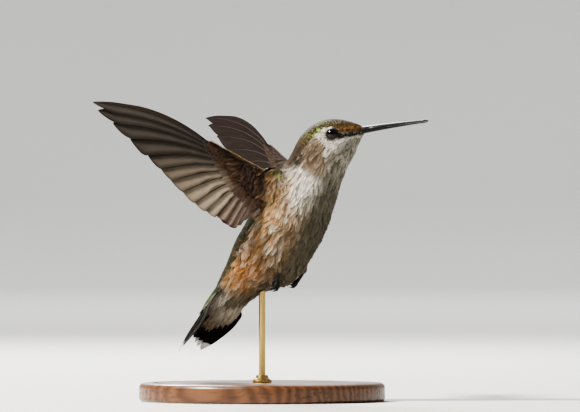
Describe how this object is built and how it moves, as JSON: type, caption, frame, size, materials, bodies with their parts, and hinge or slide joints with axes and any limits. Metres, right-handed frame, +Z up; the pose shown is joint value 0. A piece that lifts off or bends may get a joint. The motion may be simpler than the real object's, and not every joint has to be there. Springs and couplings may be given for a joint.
{
  "type": "ruby-throated hummingbird, female or immature, hovering on a display stand",
  "caption": "Life-size hummingbird hovering with its wings swept back and its tail a little spread, held by a slim rod on a round wooden base.",
  "frame": {"origin": "centre of the underside of the stand's base, which rests on the floor", "axes": "+X the way the bird's body heads, +Y to the bird's left, +Z up"},
  "size_m": [0.0752, 0.0642, 0.073],
  "materials": {
    "plumage_crown": "scaled olive and dusky crown plumage, soft sheen",
    "plumage_pale": "off-white and pale grey downy plumage",
    "plumage_flank": "buff and grey downy plumage",
    "plumage_green": "iridescent bronze-green body plumage",
    "flight_feather": "dusky brown vanes with a faint gloss",
    "tail_feather": "black vanes, outer ones with white tips",
    "bill": "black horn with a low gloss",
    "eye": "wet, glossy, near black",
    "foot": "black scaly skin and claws",
    "stand_wood": "dark walnut, satin oil finish",
    "stand_metal": "brushed brass"
  },
  "bodies": {
    "root": {"head": "plumage_crown", "neck": "plumage_pale", "breast": "plumage_pale", "belly": "plumage_flank", "rump": "plumage_green", "undertail": "plumage_pale", "bill_upper": "bill", "bill_lower": "bill", "eye_right": "eye", "eye_left": "eye", "wing_right_arm": "plumage_green", "wing_right_hand": "flight_feather", "wing_right_secondaries": "flight_feather", "wing_right_primary_01": "flight_feather", "wing_right_primary_02": "flight_feather", "wing_right_primary_03": "flight_feather", "wing_right_primary_04": "flight_feather", "wing_right_primary_05": "flight_feather", "wing_right_primary_06": "flight_feather", "wing_right_primary_07": "flight_feather", "wing_right_primary_08": "flight_feather", "wing_right_primary_09": "flight_feather", "wing_right_primary_10": "flight_feather", "wing_left_arm": "plumage_green", "wing_left_hand": "flight_feather", "wing_left_secondaries": "flight_feather", "wing_left_primary_01": "flight_feather", "wing_left_primary_02": "flight_feather", "wing_left_primary_03": "flight_feather", "wing_left_primary_04": "flight_feather", "wing_left_primary_05": "flight_feather", "wing_left_primary_06": "flight_feather", "wing_left_primary_07": "flight_feather", "wing_left_primary_08": "flight_feather", "wing_left_primary_09": "flight_feather", "wing_left_primary_10": "flight_feather", "tail_right_1": "tail_feather", "tail_right_2": "tail_feather", "tail_right_3": "tail_feather", "tail_right_4": "tail_feather", "tail_right_5": "tail_feather", "tail_left_1": "tail_feather", "tail_left_2": "tail_feather", "tail_left_3": "tail_feather", "tail_left_4": "tail_feather", "tail_left_5": "tail_feather", "leg_right": "foot", "foot_right": "foot", "leg_left": "foot", "foot_left": "foot", "stand_base": "stand_wood", "stand_rod": "stand_metal", "stand_collar": "stand_metal"}
  },
  "joints": []
}
